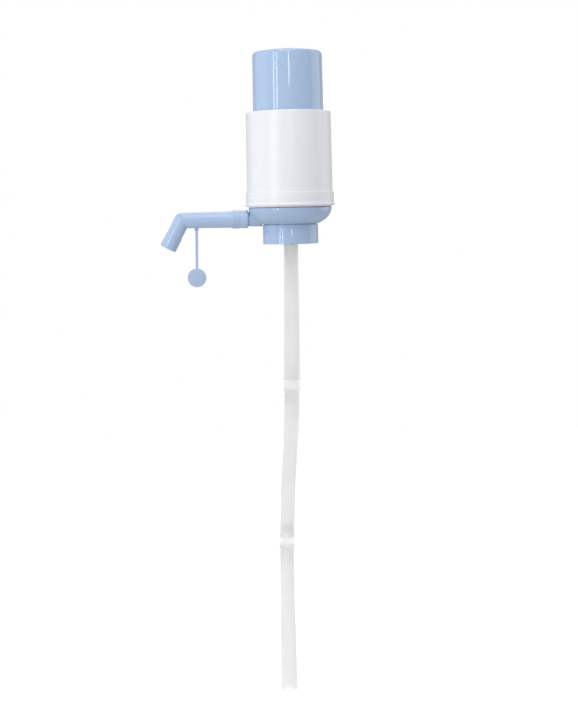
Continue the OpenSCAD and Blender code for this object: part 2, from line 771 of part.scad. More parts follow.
module stopper() {
    pin_l = strap_w + 2 * ear_gap + 2 * ear_t;
    color(blue) translate([-strap_at, 0, pin_z]) {
        rotate([0, 90, 0]) cylinder(d = pin_d, h = pin_l, center = true);
        rotate([0, 90, 0]) cylinder(r = eye_r, h = strap_w, center = true);
        rotate([0, strap_lean, 0]) {
            translate([-strap_w / 2, -strap_t / 2, -strap_l + disc_d / 2 - 1])
                cube([strap_w, strap_t, strap_l - disc_d / 2 + 1]);
            // The plug stands on the disc's back, away from the strap's front
            translate([0, 0, -strap_l]) rotate([-90, 0, 0]) difference() {
                union() {
                    translate([0, 0, -disc_t / 2]) cylinder(d = disc_d, h = disc_t);
                    cylinder(d = plug_d, h = disc_t / 2 + plug_l);
                }
                translate([0, 0, disc_t / 2]) cylinder(d = plug_d - 2 * plug_wall, h = plug_l + cut);
            }
        }
    }
}

// ---- dip tube ----

module tube_upper() {
    color(milky) on_tube(tube_top, no_lean) tube_bend(upper_l, lean_upper);
}

// Both halves start in the middle of the section, one of them upwards
module tube_middle() {
    color(milky) on_tube(middle_half, lean_middle) {
        mirror([0, 0, 1]) tube_bend(half_l, lean_middle - lean_upper);
        tube_bend(half_l, lean_lower - lean_middle);
    }
}

// The bend starts upwards from the taper's top
module tube_lower() {
    color(milky) on_tube(taper_top, no_lean) {
        mirror([0, 0, 1]) tube_bend(lower_bend_l, -lean_lower);
        rotate_extrude() polygon([
            [tube_bore_d / 2, 0], [tube_r, 0],
            [bell_d / 2, -bell_taper_l], [bell_d / 2, -bell_taper_l - bell_l],
            [bell_bore_d / 2, -bell_taper_l - bell_l], [bell_bore_d / 2, -bell_taper_l]]);
    }
}

// A joiner: a short barrel with a flange at each end and a spigot for each tube
module joiner(point, lean) {
    spigot_out_d = tube_bore_d - 2 * joiner_gap;
    color(milky) on_tube(point, lean) difference() {
        union() {
            translate([0, 0, -joiner_l - joiner_spigot_l])
                cylinder(d = spigot_out_d, h = joiner_l + 2 * joiner_spigot_l);
            translate([0, 0, -joiner_l]) cylinder(d = tube_d, h = joiner_l);
            for (z = [-joiner_flange_t, -joiner_l])
                translate([0, 0, z]) cylinder(d = joiner_flange_d, h = joiner_flange_t);
        }
        translate([0, 0, -joiner_l - joiner_spigot_l - cut])
            cylinder(d = spigot_out_d - 2.4, h = joiner_l + 2 * joiner_spigot_l + 2 * cut);
    }
}

module connector_upper() {
    joiner(joint_one, lean_upper);
}

module connector_lower() {
    joiner(joint_two, lean_lower);
}

push_cap();
valve_plate();
inlet_valve();
bellows();
clamp_ring();
clamp_screws();
outer_sleeve();
deck_plate();
deck_seal();
check_valve();
base_bowl();
neck_gasket();
squeeze_ring();
lock_collar();
spout();
spout_tip();
spout_o_ring();
stopper();
tube_upper();
tube_middle();
tube_lower();
connector_upper();
connector_lower();
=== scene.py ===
import math

import bmesh
import bpy
from mathutils import Matrix, Vector


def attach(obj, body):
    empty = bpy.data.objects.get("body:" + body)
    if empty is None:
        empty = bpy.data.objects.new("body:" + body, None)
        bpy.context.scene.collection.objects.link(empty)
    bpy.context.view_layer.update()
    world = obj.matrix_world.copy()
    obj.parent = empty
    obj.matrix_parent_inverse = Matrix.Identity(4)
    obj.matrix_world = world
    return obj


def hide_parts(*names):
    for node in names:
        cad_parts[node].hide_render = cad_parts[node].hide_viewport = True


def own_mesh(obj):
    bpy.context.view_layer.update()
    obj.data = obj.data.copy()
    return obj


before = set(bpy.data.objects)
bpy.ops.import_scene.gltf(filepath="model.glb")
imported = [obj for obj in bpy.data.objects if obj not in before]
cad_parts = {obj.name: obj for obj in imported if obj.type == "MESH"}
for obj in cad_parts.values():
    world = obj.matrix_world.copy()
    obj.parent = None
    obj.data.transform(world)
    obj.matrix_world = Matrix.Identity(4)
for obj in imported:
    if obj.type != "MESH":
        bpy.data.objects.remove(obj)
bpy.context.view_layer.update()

# ---- Camera: a long lens a good metre away, a little above the collar and tipped down, with the pump
# leaning slightly to the left in the picture
camera_data = bpy.data.cameras.new("camera")
camera_data.sensor_width = 36
camera_data.lens = 63.8
camera = bpy.data.objects.new("camera", camera_data)
bpy.context.scene.collection.objects.link(camera)
camera_at = Vector((-0.0047, -1.398, 0.0235))
tipped_down = math.radians(6.73)
lean = math.radians(-1.2)
camera.matrix_world = (
    Matrix.Translation(camera_at)
    @ Matrix.Rotation(math.pi / 2 - tipped_down, 4, "X")
    @ Matrix.Rotation(lean, 4, "Z")
)
bpy.context.scene.camera = camera


# ---- Push cap: a blue moulded cup, upside down, with a smooth rounded top edge, a shallow draft and a rim
# that keeps it in the sleeve. Turned from its outline in millimetres, with four webs under its ceiling.
# Glossy plastic whose colour, gloss and surface waver very slightly, as moulded plastic does.
def rounded(path, closed):
    # Outline points (r, z) or (r, z, radius), the corners that have a radius turned into arcs
    arc_steps = 5
    out = []
    for i, point in enumerate(path):
        corner = Vector(point[:2])
        if len(point) < 3 or (not closed and i in (0, len(path) - 1)):
            out.append(corner)
            continue
        before = (Vector(path[i - 1][:2]) - corner).normalized()
        after = (Vector(path[(i + 1) % len(path)][:2]) - corner).normalized()
        half = before.angle(after) / 2
        centre = corner + (before + after).normalized() * (point[2] / math.sin(half))
        start = corner + before * (point[2] / math.tan(half)) - centre
        end = corner + after * (point[2] / math.tan(half)) - centre
        first = math.atan2(start.y, start.x)
        sweep = (math.atan2(end.y, end.x) - first + math.pi) % (2 * math.pi) - math.pi
        for k in range(arc_steps + 1):
            angle = first + sweep * k / arc_steps
            out.append(centre + point[2] * Vector((math.cos(angle), math.sin(angle))))
    return out


def turn(bm, path, closed=True, place=Matrix.Identity(4), steps=128):
    # Turns an outline in millimetres about Z, then puts it in place
    points = rounded(path, closed)
    verts = [bm.verts.new((p.x / 1000, 0, p.y / 1000)) for p in points]
    pairs = list(zip(verts, verts[1:] + (verts[:1] if closed else [])))
    edges = [bm.edges.new(pair) for pair in pairs]
    old = set(bm.verts) - set(verts)
    bmesh.ops.spin(
        bm, geom=verts + edges, cent=(0, 0, 0), axis=(0, 0, 1), dvec=(0, 0, 0),
        angle=2 * math.pi, steps=steps, use_merge=True, use_duplicate=False,
    )
    new = [v for v in bm.verts if v not in old]
    bmesh.ops.transform(bm, matrix=place, verts=new)


def block(bm, low, high, place):
    # A box between two corners in millimetres, put in place
    low, high = Vector(low) / 1000, Vector(high) / 1000
    fitted = Matrix.Translation((low + high) / 2) @ Matrix.Diagonal((*(high - low), 1))
    bmesh.ops.create_cube(bm, size=1, matrix=place @ fitted)


def moulded(name, colour, rough, spread=0.02, rough_spread=0.05, bump=0.02, scale=40, extra=None):
    # Plastic or rubber: colour and roughness drift over the piece, and the surface is very slightly uneven
    finer = 22
    unevenness = 0.0002
    material = bpy.data.materials.new(name)
    material.use_nodes = True
    tree = material.node_tree
    shader = tree.nodes["Principled BSDF"]
    place = tree.nodes.new("ShaderNodeTexCoord")
    drift = tree.nodes.new("ShaderNodeTexNoise")
    drift.inputs["Scale"].default_value = scale
    drift.inputs["Detail"].default_value = 3
    grain = tree.nodes.new("ShaderNodeTexNoise")
    grain.inputs["Scale"].default_value = scale * finer
    grain.inputs["Detail"].default_value = 4
    tint = tree.nodes.new("ShaderNodeMix")
    tint.data_type = "RGBA"
    tint.inputs["A"].default_value = (*(c * (1 - spread) for c in colour), 1)
    tint.inputs["B"].default_value = (*(min(c * (1 + spread), 1) for c in colour), 1)
    gloss = tree.nodes.new("ShaderNodeMapRange")
    gloss.inputs["To Min"].default_value = max(rough - rough_spread, 0.02)
    gloss.inputs["To Max"].default_value = rough + rough_spread
    uneven = tree.nodes.new("ShaderNodeBump")
    uneven.inputs["Strength"].default_value = bump
    uneven.inputs["Distance"].default_value = unevenness
    link = tree.links.new
    link(place.outputs["Object"], drift.inputs["Vector"])
    link(place.outputs["Object"], grain.inputs["Vector"])
    link(drift.outputs["Fac"], tint.inputs["Factor"])
    link(tint.outputs["Result"], shader.inputs["Base Color"])
    link(grain.outputs["Fac"], gloss.inputs["Value"])
    link(gloss.outputs["Result"], shader.inputs["Roughness"])
    link(grain.outputs["Fac"], uneven.inputs["Height"])
    link(uneven.outputs["Normal"], shader.inputs["Normal"])
    for socket, value in (extra or {}).items():
        shader.inputs[socket].default_value = value
    return material


def finished(name, bm, node_names, body, material, sharp=35):
    # Closes off a mesh in metres: merged, normals outwards, smooth with sharp edges, on its body
    bmesh.ops.remove_doubles(bm, verts=bm.verts, dist=1e-6)
    loose = [e for e in bm.edges if not e.link_faces]
    bmesh.ops.delete(bm, geom=loose, context="EDGES")
    bmesh.ops.recalc_face_normals(bm, faces=bm.faces)
    mesh = bpy.data.meshes.new(name)
    bm.to_mesh(mesh)
    bm.free()
    mesh.shade_smooth()
    mesh.set_sharp_from_angle(angle=math.radians(sharp))
    mesh.materials.append(material)
    piece = bpy.data.objects.new(name, mesh)
    bpy.context.scene.collection.objects.link(piece)
    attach(piece, body)
    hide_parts(*node_names)
    return piece


blue_plastic = moulded("blue_plastic", (0.42, 0.56, 0.79), 0.09, rough_spread=0.02)
cap_top, cap_wall = 191.6, 1.8
cap_r, cap_top_r = 37.8, 37.2
cap_rim_r, cap_rim_foot, cap_rim_top = 39.45, 108.3, 111.7
cap_ceiling = cap_top - cap_wall
sleeve_top = 127.9
web_count, web_from, web_to, web_half_t, web_h, web_sunk = 4, 21, 29, 0.8, 1.6, 0.4
bm = bmesh.new()
turn(bm, [
    (0, cap_top), (cap_top_r, cap_top, 4.5), (cap_r, sleeve_top), (cap_r, cap_rim_top),
    (cap_rim_r, cap_rim_top, 0.4), (cap_rim_r, cap_rim_foot, 0.4), (cap_r - cap_wall, cap_rim_foot),
    (cap_r - cap_wall, sleeve_top), (cap_top_r - cap_wall, cap_ceiling, 2.7), (0, cap_ceiling),
], closed=False)
web_low = (web_from, -web_half_t, cap_ceiling - web_h)
web_high = (web_to, web_half_t, cap_ceiling + web_sunk)
for i in range(web_count):
    block(bm, web_low, web_high, Matrix.Rotation(i * 2 * math.pi / web_count, 4, "Z"))
finished("cap_shell", bm, ["push_cap"], "plunger", blue_plastic)


# ---- Outer sleeve: a white moulded tube with a shallow draft, a rounded top flange that turns in to guide
# the cap, a wider band at the foot and a lip under it. It stands on the base's shelf, where a groove inside
# it snaps over the base's bead.
white_plastic = moulded("white_plastic", (0.84, 0.86, 0.92), 0.3, spread=0.01, rough_spread=0.04)
sleeve_foot_r, sleeve_top_r, sleeve_wall = 46.35, 45.6, 2
guide_r, guide_wall, guide_foot = 38.15, 1.8, 112
band_r, band_foot, band_top = 47.65, 31.5, 42.3
lip_r, lip_foot, lip_top = 48.75, 26.9, 29.5
seat_r, seat_top = 45.8, 38.1
snap_r, snap_z, snap_half_h = 46.25, 33.7, 0.9
flange_foot = sleeve_top - sleeve_wall
bm = bmesh.new()
turn(bm, [
    (seat_r, lip_foot, 0.2), (46.1, lip_foot, 0.2), (46.5, 27.9, 0.3), (lip_r, 28.5, 0.5),
    (lip_r, lip_top, 0.4), (band_r, band_foot, 0.6), (band_r, band_top, 0.6),
    (sleeve_foot_r, band_top + 0.5, 0.4),
    (sleeve_top_r, sleeve_top, 1.5), (guide_r, sleeve_top, 0.8), (guide_r, guide_foot, 0.4),
    (guide_r + guide_wall, guide_foot, 0.4), (guide_r + guide_wall, flange_foot),
    (sleeve_top_r - sleeve_wall, flange_foot), (sleeve_foot_r - sleeve_wall, seat_top), (seat_r, seat_top),
    (seat_r, snap_z + snap_half_h), (snap_r, snap_z), (seat_r, snap_z - snap_half_h),
])
finished("sleeve_shell", bm, ["outer_sleeve"], "pump_body", white_plastic)


# ---- Base: the blue bowl that the sleeve stands on, moulded in one with its stem, its nipple and the socket
# that the spout turns on. It is the solid's own mesh, which has every boss and hole, with only the rim drawn
# in under the sleeve's lip. That leaves the dark line that runs round the pump.
def from_solid(name, node, body, material, shaping=None):
    # The solid's loose triangles merged, shaped further if need be, and its flat faces joined
    flat = math.radians(0.5)
    bm = bmesh.new()
    bm.from_mesh(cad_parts[node].data)
    bmesh.ops.remove_doubles(bm, verts=bm.verts, dist=2e-6)
    if shaping:
        shaping(bm)
    bmesh.ops.dissolve_limit(
        bm, angle_limit=flat, verts=bm.verts, edges=bm.edges, use_dissolve_boundaries=False
    )
    finished(name, bm, [node], body, material)


def draw_in_rim(bm):
    # Cuts the bowl's side round twice, close together under its rim, and draws in what is above the upper
    # cut as far as the rim's top. In metres.
    cut_foot, cut_top, rim_top = 0.0259, 0.0262, 0.0292
    side_r, drawn_r = 0.0445, 0.0441
    slack = 0.0001
    for height in (cut_foot, cut_top):
        bmesh.ops.bisect_plane(
            bm, geom=bm.verts[:] + bm.edges[:] + bm.faces[:], plane_co=(0, 0, height), plane_no=(0, 0, 1)
        )
    for v in bm.verts:
        out = math.hypot(v.co.x, v.co.y)
        if cut_top - slack < v.co.z < rim_top and out > side_r:
            v.co.x *= drawn_r / out
            v.co.y *= drawn_r / out


from_solid("base_shell", "base_bowl", "pump_body", blue_plastic, draw_in_rim)


# ---- Neck gasket: the soft ring of silicone under the bowl, inside the collar, that the rim of the bottle's
# neck seals on
silicone = moulded("silicone", (0.7, 0.72, 0.74), 0.4, bump=0.04)
from_solid("gasket", "neck_gasket", "pump_body", silicone)


# ---- Grip ring: the split ring of harder, pale plastic inside the collar. It turns with the collar and
# closes on the bottle's neck.
grip_plastic = moulded("grip_plastic", (0.8, 0.82, 0.84), 0.36, bump=0.03)
from_solid("grip_ring", "squeeze_ring", "grip", grip_plastic)


# ---- Collar: the plain blue ring round both, screwed on the base's stem. A quarter turn locks the pump on
# the bottle. Moulded in the same glossy plastic as the base.
from_solid("collar_ring", "lock_collar", "collar", blue_plastic)


# ---- Spout: a blue arm pushed on the socket, moulded with a root of three beads, a slight taper, one elbow
# and two ears under it for the stopper's pin. Made of rings along its route, outside and bore in one closed
# skin, in millimetres from the pump's axis.
def skin(bm, rings, closed=True):
    # Joins each ring of points in metres to the next one, and the last to the first if it is closed
    made = [[bm.verts.new(p) for p in ring] for ring in rings]
    count = len(made[0])
    for a, b in zip(made, made[1:] + (made[:1] if closed else [])):
        for i in range(count):
            j = (i + 1) % count
            bm.faces.new((a[i], a[j], b[j], b[i]))


arm_z, elbow_x, elbow_drop = 14.5, -117.55, 61.5


def elbow_rings(arm, leg):
    # Rings (distance, radius) along the arm and along the leg, with a rounded corner between them that is
    # wide on the outside and nearly sharp on the inside
    sides, corner_steps = 64, 8
    inside_fillet, fillet_growth = 0.6, 4.6
    drop = math.radians(elbow_drop)
    elbow = Vector((elbow_x, 0, arm_z))
    along = Vector((-1, 0, 0))
    down = Vector((-math.cos(drop), 0, -math.sin(drop)))
    up = Vector((0, 0, 1))
    up_leg = Vector((-math.sin(drop), 0, math.cos(drop)))
    side = Vector((0, 1, 0))
    angles = [2 * math.pi * k / sides for k in range(sides)]

    def ring(centre, above, r):
        return [(centre + (above * math.cos(a) + side * math.sin(a)) * r) / 1000 for a in angles]

    rings = [ring(Vector((-x, 0, arm_z)), up, r) for x, r in arm]
    r = arm[-1][1]
    for k in range(corner_steps + 1):
        turned = drop * k / corner_steps
        points = []
        for a in angles:
            above = r * math.cos(a)
            fillet = inside_fillet + fillet_growth * (1 + math.cos(a))
            corner = elbow + up * above + along * (above * math.tan(drop / 2)) + side * (r * math.sin(a))
            centre = corner - along * (fillet * math.tan(drop / 2)) - up * fillet
            points.append((centre + (up * math.cos(turned) + along * math.sin(turned)) * fillet) / 1000)
        rings.append(points)
    return rings + [ring(elbow + down * l, up_leg, r) for l, r in leg]


def ear_edge(c, s):
    # An ear's edge in the direction (c, s) from its pin: round below, square above
    ear_r, squareness = 1.6, 0.615
    reach = ear_r if s < 0 else ear_r / max(abs(c), s * squareness)
    return c * reach, s * reach


root_end, root_r, bead_mid_r, bead_r = 45.85, 9.66, 9.86, 10.01
spout_bore_r, socket_bore_r, socket_bore_end = 6.2, 7.46, 58.65
straight_end, bend_end, leg_l = 110, 11, 27.5
tip_from, tip_seat_r = 18.5, 8
bead = (
    (-0.15, root_r), (0, bead_mid_r), (0.2, bead_r), (0.9, bead_r), (1.1, bead_mid_r), (1.25, root_r),
)
root = [(root_end, 9.3), (root_end + 0.35, root_r)]
for x in (55.25, 58.15, 60.35):
    root += [(x + further, r) for further, r in bead]
arm = root + [
    (63.7, root_r), (64.05, 9.3), (64.3, 8.95), (65, 8.84), (80, 8.75), (100, 8.61), (straight_end, 8.54),
]
leg = [(bend_end, 8.5), (tip_from - 0.2, 8.5), (tip_from, 8.3), (tip_from, tip_seat_r), (leg_l, tip_seat_r)]
arm_bore = [
    (root_end, 7.7), (root_end + 0.25, socket_bore_r), (socket_bore_end, socket_bore_r),
    (socket_bore_end, spout_bore_r), (straight_end, spout_bore_r),
]
leg_bore = [(bend_end, spout_bore_r), (leg_l, spout_bore_r)]
bm = bmesh.new()
skin(bm, elbow_rings(arm, leg) + elbow_rings(arm_bore, leg_bore)[::-1])

hinge_x, hinge_z = -102.05, 4.4
ear_gap, ear_t, ear_hole_r, ear_sides = 2.3, 0.85, 0.8, 40
turns = [2 * math.pi * k / ear_sides for k in range(ear_sides)]
edge = [ear_edge(math.cos(a), math.sin(a)) for a in turns]
hole = [(math.cos(a) * ear_hole_r, math.sin(a) * ear_hole_r) for a in turns]
for x in (hinge_x - ear_gap / 2 - ear_t, hinge_x + ear_gap / 2):
    skin(bm, [
        [(at / 1000, y / 1000, (z + hinge_z) / 1000) for y, z in outline]
        for at, outline in ((x, edge), (x, hole), (x + ear_t, hole), (x + ear_t, edge))
    ])
finished("spout_arm", bm, ["spout"], "spout", blue_plastic)


# ---- Spout's tip: a slightly thicker nozzle with a rounded mouth, of the same blue plastic, pushed over the
# spout's thinner end. Turned in millimetres down the leg from the elbow.
tip_r, tip_end, mouth_r = 8.95, 34.1, 6.65
elbow_place = Matrix.Translation((elbow_x / 1000, 0, arm_z / 1000))
down_the_leg = elbow_place @ Matrix.Rotation(math.radians(-90 - elbow_drop), 4, "Y")
bm = bmesh.new()
turn(bm, [
    (tip_seat_r, tip_from), (tip_r, tip_from, 0.3), (tip_r, tip_end, 0.9), (mouth_r, tip_end, 0.6),
    (mouth_r, leg_l), (tip_seat_r, leg_l),
], place=down_the_leg, steps=64)
finished("nozzle", bm, ["spout_tip"], "spout", blue_plastic)


# ---- Spout's seal: an O-ring of black rubber in the groove of the spigot that the spout's root is pushed on,
# out of sight. It holds the spout where it is turned to.
black_rubber = moulded("black_rubber", (0.035, 0.035, 0.038), 0.5, spread=0.1, bump=0.05)
from_solid("seal_ring", "spout_o_ring", "pump_body", black_rubber)


# ---- Stopper: pin, eye, strap, disc and hollow plug in one soft blue moulding that hangs from the spout's
# ears, with the plug on the disc's back. The strap is narrower between the ears.
blue_soft = moulded("blue_soft", (0.42, 0.54, 0.75), 0.36, bump=0.03)
pin_r, pin_half_l = 0.75, ear_gap / 2 + ear_t
eye_r, eye_half_l = 1.3, 1.1
strap_half_w, strap_half_t, strap_edge_r, strap_lean = 1.45, 0.6, 0.3, 1.2
strap_from, narrow_to, full_from, strap_to, narrow_share = -0.6, -2.2, -2.9, -43, 0.75
disc_r, disc_half_t, disc_drop = 10.2, 0.8, 52.4
plug_r, plug_bore_r, plug_end = 6.55, 5.35, 6.8
hinge = Matrix.Translation((hinge_x / 1000, 0, hinge_z / 1000))
across = hinge @ Matrix.Rotation(math.pi / 2, 4, "Y")
hanging = hinge @ Matrix.Rotation(math.radians(strap_lean), 4, "Y")
bm = bmesh.new()
for r, half_l, edge_r, steps in ((pin_r, pin_half_l, 0.15, 32), (eye_r, eye_half_l, 0.2, 40)):
    rod = [(0, -half_l), (r, -half_l, edge_r), (r, half_l, edge_r), (0, half_l)]
    turn(bm, rod, closed=False, place=across, steps=steps)
strap = rounded([
    (x * strap_half_w, y * strap_half_t, strap_edge_r) for x, y in ((-1, -1), (1, -1), (1, 1), (-1, 1))
], closed=True)
skin(bm, [
    [hanging @ (Vector((p.x * share, p.y * share, z)) / 1000) for p in strap]
    for z, share in (
        (strap_from, 0), (strap_from, narrow_share), (narrow_to, narrow_share), (full_from, 1), (-22, 1),
        (strap_to, 1), (strap_to, 0),
    )
], closed=False)
disc_place = Matrix.Translation((0, 0, -disc_drop / 1000)) @ Matrix.Rotation(-math.pi / 2, 4, "X")
turn(bm, [
    (0, -disc_half_t), (disc_r, -disc_half_t, 0.4), (disc_r, disc_half_t, 0.4), (plug_r, disc_half_t, 0.3),
    (plug_r, plug_end, 0.4), (plug_bore_r, plug_end, 0.3), (plug_bore_r, disc_half_t), (0, disc_half_t),
], closed=False, place=hanging @ disc_place, steps=96)
finished("dust_stopper", bm, ["stopper"], "stopper", blue_soft)


# ---- Dip tube: three lengths of milky pipe, the top one pushed on the base's nipple, the lowest one belled.
# Each is made of rings along the gentle bend that it has taken. Distances run down the tube in millimetres
# from the nipple, and widths change a little along it.
def mixed_with(material, colour):
    # Mixes a second colour into a moulded plastic. Gives the height on the piece in metres and the second
    # colour's share, which is then linked to what is worked out from that height.
    tree = material.node_tree
    coordinates = next(n for n in tree.nodes if n.type == "TEX_COORD")
    tint = next(n for n in tree.nodes if n.type == "MIX")
    place = tree.nodes.new("ShaderNodeSeparateXYZ")
    both = tree.nodes.new("ShaderNodeMix")
    both.data_type = "RGBA"
    both.inputs["B"].default_value = (*colour, 1)
    tree.links.new(coordinates.outputs["Object"], place.inputs[0])
    tree.links.new(tint.outputs["Result"], both.inputs["A"])
    tree.links.new(both.outputs["Result"], tree.nodes["Principled BSDF"].inputs["Base Color"])
    return place.outputs["Z"], both.inputs["Factor"]


milky_tube = moulded(
    "milky_tube", (0.875, 0.875, 0.877), 0.45, spread=0.02, bump=0.03, scale=25,
    extra={"Transmission Weight": 0.85, "IOR": 1.12},
)
# Painted shade: the tube's colour greys from 70 mm down up to the collar, standing in for the shade under the
# collar
height, share = mixed_with(milky_tube, (0.79, 0.793, 0.8))
links = milky_tube.node_tree.links
painted_shade_fade = milky_tube.node_tree.nodes.new("ShaderNodeMapRange")
painted_shade_fade.inputs["From Min"].default_value = -0.07
painted_shade_fade.inputs["From Max"].default_value = 0.0
links.new(height, painted_shade_fade.inputs["Value"])
links.new(painted_shade_fade.outputs["Result"], share)

barrel_l, tube_bore_r, spine_l, spine_per_mm = 11, 6.4, 530, 10
top_end = 169.5
mid_start, mid_end = top_end + barrel_l, 346
low_start, low_end = mid_end + barrel_l, 522.5
nipple_z = 7.2
# How many degrees the tube leans to the spout's side, at distances down it
tube_lean = [
    (0, 0), (top_end, 1.3), (mid_start, 1.3), (263.25, 4.7), (mid_end, 1.1), (low_start, 1.1), (437.5, 0),
    (spine_l, 0),
]


def between(pairs, s):
    # The two neighbours in a list of (distance, value) that the distance s lies between
    return next(p for p in zip(pairs, pairs[1:]) if p[0][0] <= s <= p[1][0])


# The tube's middle line in points a tenth of a millimetre apart, each step leaning as its middle does
half_step = 0.05
spine = [Vector((0, 0, nipple_z))]
for step in range(spine_l * spine_per_mm):
    s = step / spine_per_mm + half_step
    (s0, a0), (s1, a1) = between(tube_lean, s)
    a = math.radians(a0 + (a1 - a0) * (s - s0) / (s1 - s0))
    spine.append(spine[-1] + Vector((-math.sin(a), 0, -math.cos(a))) * (1 / spine_per_mm))


def tube_rings(outline):
    # Rings for points (distance down the tube, radius), square to the tube's bend
    sides = 64
    rings = []
    for s, r in outline:
        k = min(max(round(s * spine_per_mm), 0), len(spine) - 2)
        down = (spine[k + 1] - spine[k]).normalized()
        across = Vector((0, 1, 0)).cross(down)
        rings.append([
            (spine[k] + (across * math.cos(a) + Vector((0, 1, 0)) * math.sin(a)) * r) / 1000
            for a in (2 * math.pi * i / sides for i in range(sides))
        ])
    return rings


def every(step, start, end):
    # Distances from the start on, a step apart, as far as the end
    return [start + step * k for k in range(math.ceil((end - start) / step))]


def tube(name, node, start, end, widths, foot_bore_r=tube_bore_r):
    # Outside from (distance, radius) pairs, joined smoothly, with rounded mouths. The bore is straight, or
    # widens to that of a belled foot.
    ring_step, bell_l, bell_taper_l = 6, 28, 57
    first, last = widths[0][1], widths[-1][1]
    outline = [(start, first - 0.4), (start + 0.15, first - 0.1)]
    for s in every(ring_step, start + 0.5, end - 0.5):
        (s0, r0), (s1, r1) = between(widths, s)
        t = (s - s0) / (s1 - s0)
        outline.append((s, r0 + (r1 - r0) * t * t * (3 - 2 * t)))
    outline += [(end - 0.5, last), (end - 0.15, last - 0.1), (end, last - 0.4)]
    taper_top = end - bell_l - bell_taper_l
    belled = foot_bore_r > tube_bore_r
    straight_to = taper_top - 1 if belled else end - ring_step
    inside = [start, start + 0.2] + every(ring_step, start + ring_step, straight_to)
    bore = [(s, tube_bore_r) for s in inside]
    if belled:
        bore += [(taper_top, tube_bore_r), (end - bell_l, foot_bore_r)]
    bore.append((end, foot_bore_r))
    bm = bmesh.new()
    skin(bm, tube_rings(outline) + tube_rings(bore)[::-1])
    finished(name, bm, [node], "pump_body", milky_tube)


tube("tube_top", "tube_upper", 0, top_end, [
    (0, 7.5), (45, 7.75), (90, 8.05), (130, 8.4), (155, 8.7), (top_end, 8.8),
])
tube("tube_mid", "tube_middle", mid_start, mid_end, [
    (mid_start, 8.25), (200, 8.1), (230, 7.95), (300, 8.0), (325, 8.2), (mid_end, 8.2),
])
tube("tube_low", "tube_lower", low_start, low_end, [
    (low_start, 8.1), (375, 7.95), (410, 8), (437.5, 8.25), (470, 8.5), (494.5, 9.05), (510, 9.1),
    (low_end, 9.1),
], foot_bore_r=7.4)


# ---- Joiners: two short barrels between the lengths of dip tube, each with a rounded flange at both ends and
# a spigot pushed up and down into the tubes. The barrel is of the same milky plastic, and the spigots inside
# the tubes are clear.
joint_plastic = moulded(
    "joint_plastic", (0.89, 0.89, 0.892), 0.42, spread=0.01, bump=0.03, scale=25,
    extra={"Transmission Weight": 0.92, "IOR": 1.1},
)
# How far a point is above or below the nearer barrel's middle says whether it is on a spigot
upper_barrel_z, barrels_apart, barrel_half_l, half_fade = -0.1678, 0.1756, 0.0055, 0.0002
height, share = mixed_with(joint_plastic, (0.995, 0.995, 0.995))
links = joint_plastic.node_tree.links
lifted = joint_plastic.node_tree.nodes.new("ShaderNodeMath")
lifted.operation = "ADD"
lifted.inputs[1].default_value = -upper_barrel_z
from_middle = joint_plastic.node_tree.nodes.new("ShaderNodeMath")
from_middle.operation = "PINGPONG"
from_middle.inputs[1].default_value = barrels_apart / 2
on_spigot = joint_plastic.node_tree.nodes.new("ShaderNodeMapRange")
on_spigot.inputs["From Min"].default_value = barrel_half_l - half_fade
on_spigot.inputs["From Max"].default_value = barrel_half_l + half_fade
links.new(height, lifted.inputs[0])
links.new(lifted.outputs[0], from_middle.inputs[0])
links.new(from_middle.outputs[0], on_spigot.inputs["Value"])
links.new(on_spigot.outputs["Result"], share)


def joiner(name, node, start):
    # From the upper spigot's end down the outside, and back up the bore
    spigot_l, spigot_r, spigot_end_r, joiner_bore_r = 16, 6.2, 5.9, 5.1
    upper_flange_r, lower_flange_r = 9.1, 9.3
    end = start + barrel_l
    head, foot = start - spigot_l, end + spigot_l
    outline = [
        (head, spigot_end_r), (head + 0.3, spigot_r), (start, spigot_r),
        (start, 8.7), (start + 0.3, upper_flange_r), (start + 0.9, upper_flange_r), (start + 1.3, 8.45),
        (start + 5, 8.3), (end - 2.6, 8.35),
        (end - 1.9, 8.9), (end - 1.4, lower_flange_r), (end - 0.6, lower_flange_r), (end - 0.2, 8.8),
        (end, 8.4), (end, spigot_r), (foot - 0.3, spigot_r), (foot, spigot_end_r), (foot, joiner_bore_r),
        (head, joiner_bore_r),
    ]
    bm = bmesh.new()
    skin(bm, tube_rings(outline))
    finished(name, bm, [node], "pump_body", joint_plastic)


joiner("joiner_top", "connector_upper", top_end)
joiner("joiner_low", "connector_lower", mid_end)


# ---- Bellows: a soft, pale bag with fourteen rounded folds, blown in one piece, between the deck and the
# valve plate. The clamp ring holds its flange down, and it shortens as the cap goes down.
bellows_plastic = moulded("bellows_plastic", (0.82, 0.83, 0.85), 0.42, bump=0.04)
bag_foot, flange_top, folds_foot, folds_top, bag_top = 32.5, 34, 37.5, 178.6, 185.6
flange_r, fold_in_r, fold_out_r, bag_wall = 35.3, 28, 33.6, 0.8
fold_count, crease_r, inside_crease_r = 14, 1.2, 1
fold_h = (folds_top - folds_foot) / fold_count
neck_in_r = fold_in_r - bag_wall
creases = []
for i in range(fold_count):
    z = folds_foot + fold_h * i
    creases += [(fold_in_r, z), (fold_out_r, z + fold_h / 2)]
outside = (
    [(flange_r, bag_foot, 0.2), (flange_r, flange_top, 0.2), (fold_in_r, flange_top)]
    + [(r, z, crease_r) for r, z in creases]
    + [(fold_in_r, folds_top, crease_r), (fold_in_r, bag_top)]
)
inside = (
    [(neck_in_r, bag_top), (neck_in_r, folds_top, inside_crease_r)]
    + [(r - bag_wall, z, inside_crease_r) for r, z in creases[::-1]]
    + [(neck_in_r, bag_foot)]
)
bm = bmesh.new()
turn(bm, outside + inside, steps=96)
bag = finished("air_bag", bm, ["bellows"], "pump_body", bellows_plastic, sharp=60)
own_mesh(bag)


# ---- Valve plate: the white moulded disc that closes the bellows' top under the cap, with the air holes that
# let air in. The cap carries it down.
from_solid("top_plate", "valve_plate", "plunger", white_plastic)


